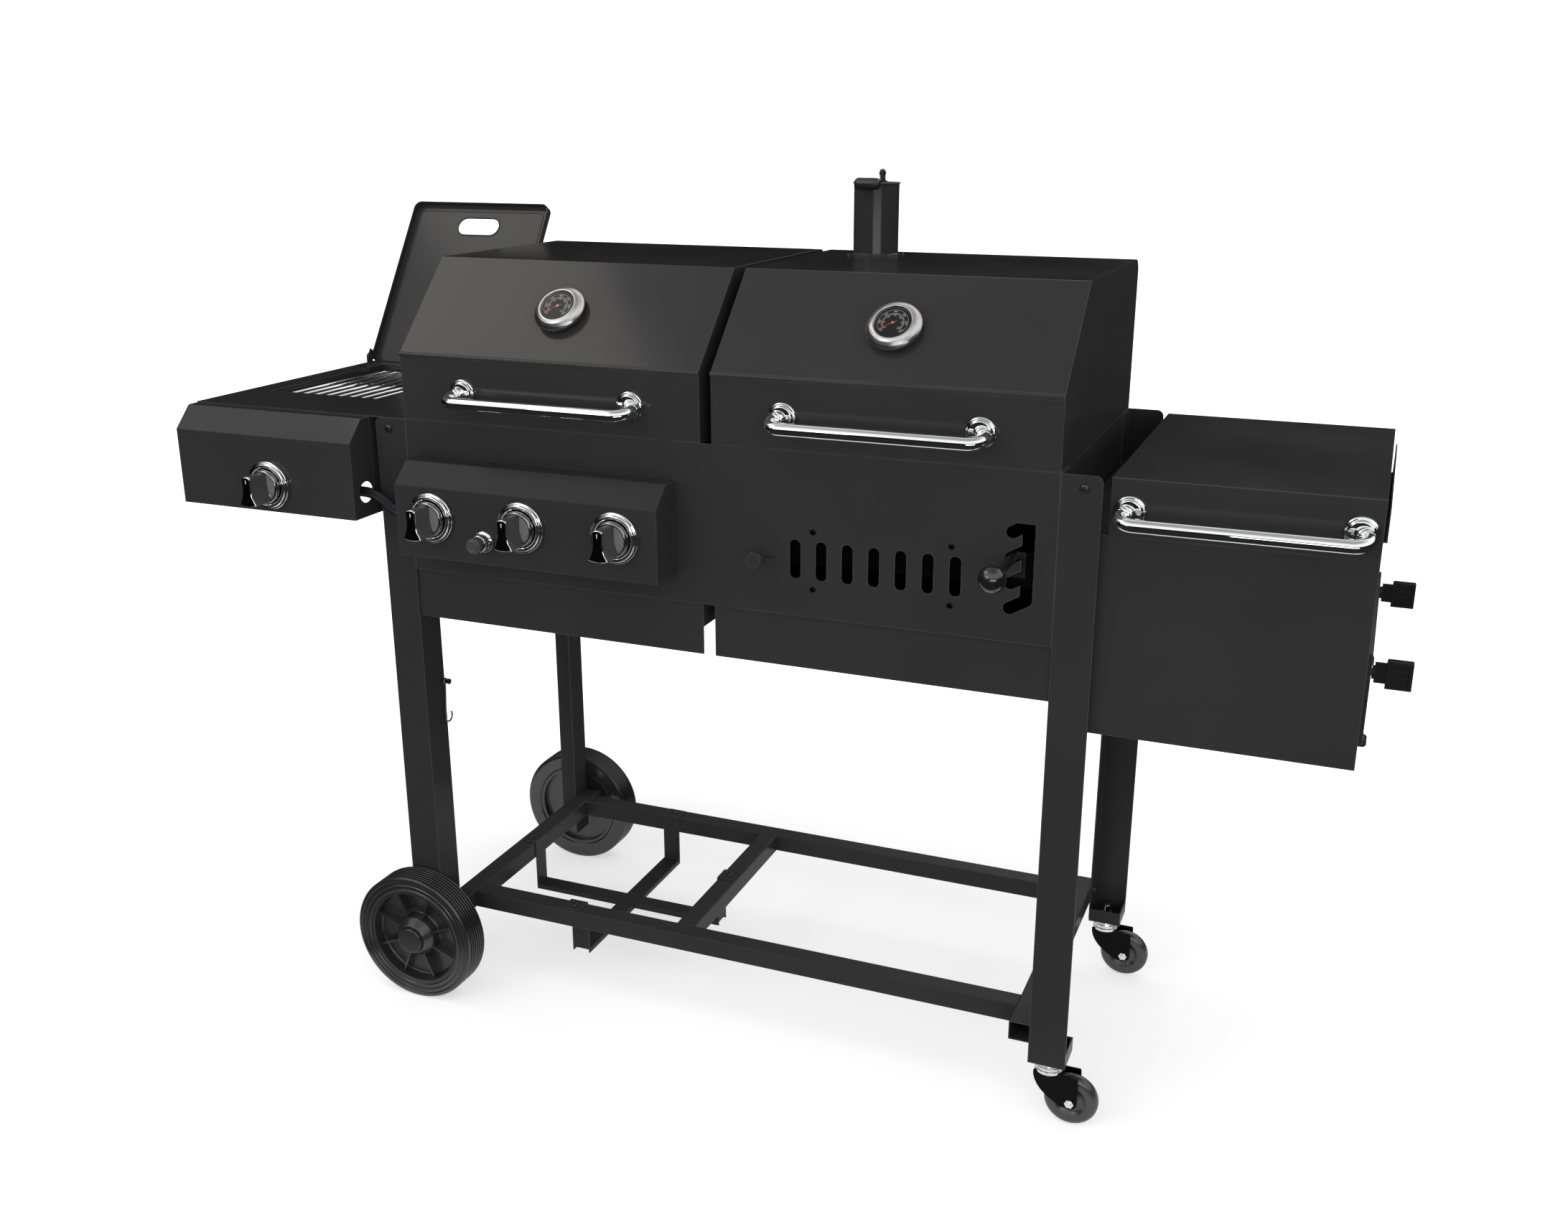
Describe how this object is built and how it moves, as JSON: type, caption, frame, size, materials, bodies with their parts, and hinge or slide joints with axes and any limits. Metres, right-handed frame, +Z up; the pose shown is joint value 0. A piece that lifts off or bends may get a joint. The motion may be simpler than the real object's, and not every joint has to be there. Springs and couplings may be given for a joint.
{
  "type": "offset smoker",
  "caption": "Cart grill and smoker with a gas chamber, a charcoal chamber, a side burner and an offset firebox on two wheels and two casters.",
  "frame": {"origin": "middle of the whole cart's footprint, on the floor", "axes": "+X towards the offset firebox, +Y towards the back, +Z up"},
  "size_m": [1.844, 0.759, 1.3338],
  "materials": {
    "enamel": "satin black heat-proof paint",
    "frame_paint": "semi-gloss black powder coat",
    "chrome": "polished",
    "zinc": "zinc plated",
    "gauge_steel": "brushed",
    "tyre": "moulded rubber",
    "rim": "moulded plastic",
    "roller": "matt",
    "fork": "black zinc",
    "knob": "satin black",
    "brass": "cast",
    "burner": "plain",
    "grate": "enamelled",
    "tray": "heat-worn",
    "drip": "plain",
    "hose": "ribbed",
    "latch": "black"
  },
  "bodies": {
    "cart": {"front_left_leg": "frame_paint", "back_left_leg": "frame_paint", "front_right_leg": "frame_paint", "back_right_leg": "frame_paint", "cross_rails": "frame_paint", "side_rails": "frame_paint", "tank_cradle": "frame_paint", "wheel_axle": "zinc", "caster_stems": "zinc", "gas_firebox": "enamel", "charcoal_firebox": "enamel", "front_panel": "enamel", "control_box": "enamel", "knob_bezels": "chrome", "gas_manifold": "brass", "gas_burners": "burner", "heat_plates": "burner", "cooking_grates": "grate", "lid_hinges": "zinc", "side_tray": "enamel", "side_fascia": "enamel", "side_burner": "brass", "side_grate": "chrome", "gas_hose": "hose", "offset_firebox": "enamel", "fire_grate": "grate", "screws": "zinc"},
    "gas_lid_body": {"gas_lid": "enamel", "gas_lid_handle": "chrome", "gas_thermometer": "gauge_steel"},
    "charcoal_lid_body": {"charcoal_lid": "enamel", "charcoal_lid_handle": "chrome", "charcoal_thermometer": "gauge_steel", "chimney_tube": "enamel", "chimney_bolt": "chrome"},
    "chimney_cap_body": {"chimney_cap": "enamel"},
    "firebox_lid_body": {"firebox_lid": "enamel", "firebox_handle": "chrome"},
    "side_lid_body": {"side_lid": "enamel"},
    "left_knob_body": {"left_knob": "knob"},
    "middle_knob_body": {"middle_knob": "knob"},
    "right_knob_body": {"right_knob": "knob"},
    "side_knob_body": {"side_knob": "knob"},
    "igniter_body": {"igniter_button": "knob"},
    "front_wheel": {"front_wheel_tyre": "tyre", "front_wheel_rim": "rim"},
    "back_wheel": {"back_wheel_tyre": "tyre", "back_wheel_rim": "rim"},
    "front_swivel": {"front_caster_fork": "fork"},
    "front_roller": {"front_caster_wheel": "roller"},
    "back_swivel": {"back_caster_fork": "fork"},
    "back_roller": {"back_caster_wheel": "roller"},
    "damper_body": {"vent_damper": "enamel"},
    "coal_tray_body": {"charcoal_tray": "tray", "tray_lever": "chrome"},
    "grease_tray_body": {"grease_tray": "drip"},
    "ash_door_body": {"ash_door": "enamel"},
    "front_latch_body": {"front_latch": "latch"},
    "back_latch_body": {"back_latch": "latch"},
    "hook_body": {"match_hook": "zinc"}
  },
  "joints": [
    {"name": "gas_lid_hinge", "type": "hinge", "parent": "cart", "child": "gas_lid_body", "pos_m": [-0.2785, 0.24251, 0.977], "axis": [-1, 0, 0], "range_deg": [0, 88]},
    {"name": "charcoal_lid_hinge", "type": "hinge", "parent": "cart", "child": "charcoal_lid_body", "pos_m": [0.2305, 0.24251, 0.977], "axis": [-1, 0, 0], "range_deg": [0, 88]},
    {"name": "chimney_cap_swivel", "type": "hinge", "parent": "charcoal_lid_body", "child": "chimney_cap_body", "pos_m": [0.082, 0.17901, 1.313], "axis": [0, 0, 1], "range_deg": [-100, 100]},
    {"name": "firebox_lid_hinge", "type": "hinge", "parent": "cart", "child": "firebox_lid_body", "pos_m": [0.703, 0.23051, 0.8985], "axis": [-1, 0, 0], "range_deg": [0, 95]},
    {"name": "side_lid_hinge", "type": "hinge", "parent": "cart", "child": "side_lid_body", "pos_m": [-0.773, 0.18851, 0.9862], "axis": [1, 0, 0], "range_deg": [0, 123]},
    {"name": "left_knob_turn", "type": "hinge", "parent": "cart", "child": "left_knob_body", "pos_m": [-0.443, -0.32419, 0.8455], "axis": [0, -1, 0], "range_deg": [0, 180]},
    {"name": "middle_knob_turn", "type": "hinge", "parent": "cart", "child": "middle_knob_body", "pos_m": [-0.29, -0.32419, 0.8455], "axis": [0, -1, 0], "range_deg": [0, 180]},
    {"name": "right_knob_turn", "type": "hinge", "parent": "cart", "child": "right_knob_body", "pos_m": [-0.137, -0.32419, 0.8455], "axis": [0, -1, 0], "range_deg": [0, 180]},
    {"name": "side_knob_turn", "type": "hinge", "parent": "cart", "child": "side_knob_body", "pos_m": [-0.74725, -0.31329, 0.866], "axis": [0, -1, 0], "range_deg": [0, 180]},
    {"name": "igniter_press", "type": "slide", "parent": "cart", "child": "igniter_body", "axis": [0, 1, 0], "range_m": [0, 0.003], "stiffness_N_per_m": 400, "springref_m": -0.003},
    {"name": "front_wheel_spin", "type": "hinge", "parent": "cart", "child": "front_wheel", "pos_m": [-0.55125, -0.28839, 0.11], "axis": [0, 1, 0], "continuous": true},
    {"name": "back_wheel_spin", "type": "hinge", "parent": "cart", "child": "back_wheel", "pos_m": [-0.55125, 0.26241, 0.11], "axis": [0, 1, 0], "continuous": true},
    {"name": "front_caster_swivel", "type": "hinge", "parent": "cart", "child": "front_swivel", "pos_m": [0.50325, -0.23449, 0.09], "axis": [0, 0, 1], "continuous": true},
    {"name": "front_caster_spin", "type": "hinge", "parent": "front_swivel", "child": "front_roller", "pos_m": [0.53825, -0.23449, 0.04], "axis": [0, 1, 0], "continuous": true},
    {"name": "back_caster_swivel", "type": "hinge", "parent": "cart", "child": "back_swivel", "pos_m": [0.50325, 0.20851, 0.09], "axis": [0, 0, 1], "continuous": true},
    {"name": "back_caster_spin", "type": "hinge", "parent": "back_swivel", "child": "back_roller", "pos_m": [0.53825, 0.20851, 0.04], "axis": [0, 1, 0], "continuous": true},
    {"name": "damper_slide", "type": "slide", "parent": "cart", "child": "damper_body", "axis": [1, 0, 0], "range_m": [0, 0.02]},
    {"name": "coal_tray_lift", "type": "slide", "parent": "cart", "child": "coal_tray_body", "axis": [0.866, 0, 0.5], "range_m": [0, 0.02732]},
    {"name": "grease_tray_slide", "type": "slide", "parent": "cart", "child": "grease_tray_body", "axis": [0, 1, 0], "range_m": [0, 0.2]},
    {"name": "ash_door_hinge", "type": "hinge", "parent": "cart", "child": "ash_door_body", "pos_m": [0.8725, -0.00399, 0.635], "axis": [0, 1, 0], "range_deg": [0, 100]},
    {"name": "front_latch_turn", "type": "hinge", "parent": "ash_door_body", "child": "front_latch_body", "pos_m": [0.869, -0.18849, 0.737], "axis": [-1, 0, 0], "range_deg": [0, 90]},
    {"name": "back_latch_turn", "type": "hinge", "parent": "ash_door_body", "child": "back_latch_body", "pos_m": [0.869, 0.18051, 0.737], "axis": [1, 0, 0], "range_deg": [0, 90]},
    {"name": "match_hook_swing", "type": "hinge", "parent": "cart", "child": "hook_body", "pos_m": [-0.518, -0.21649, 0.539], "axis": [1, 0, 0], "range_deg": [-60, 60]}
  ]
}
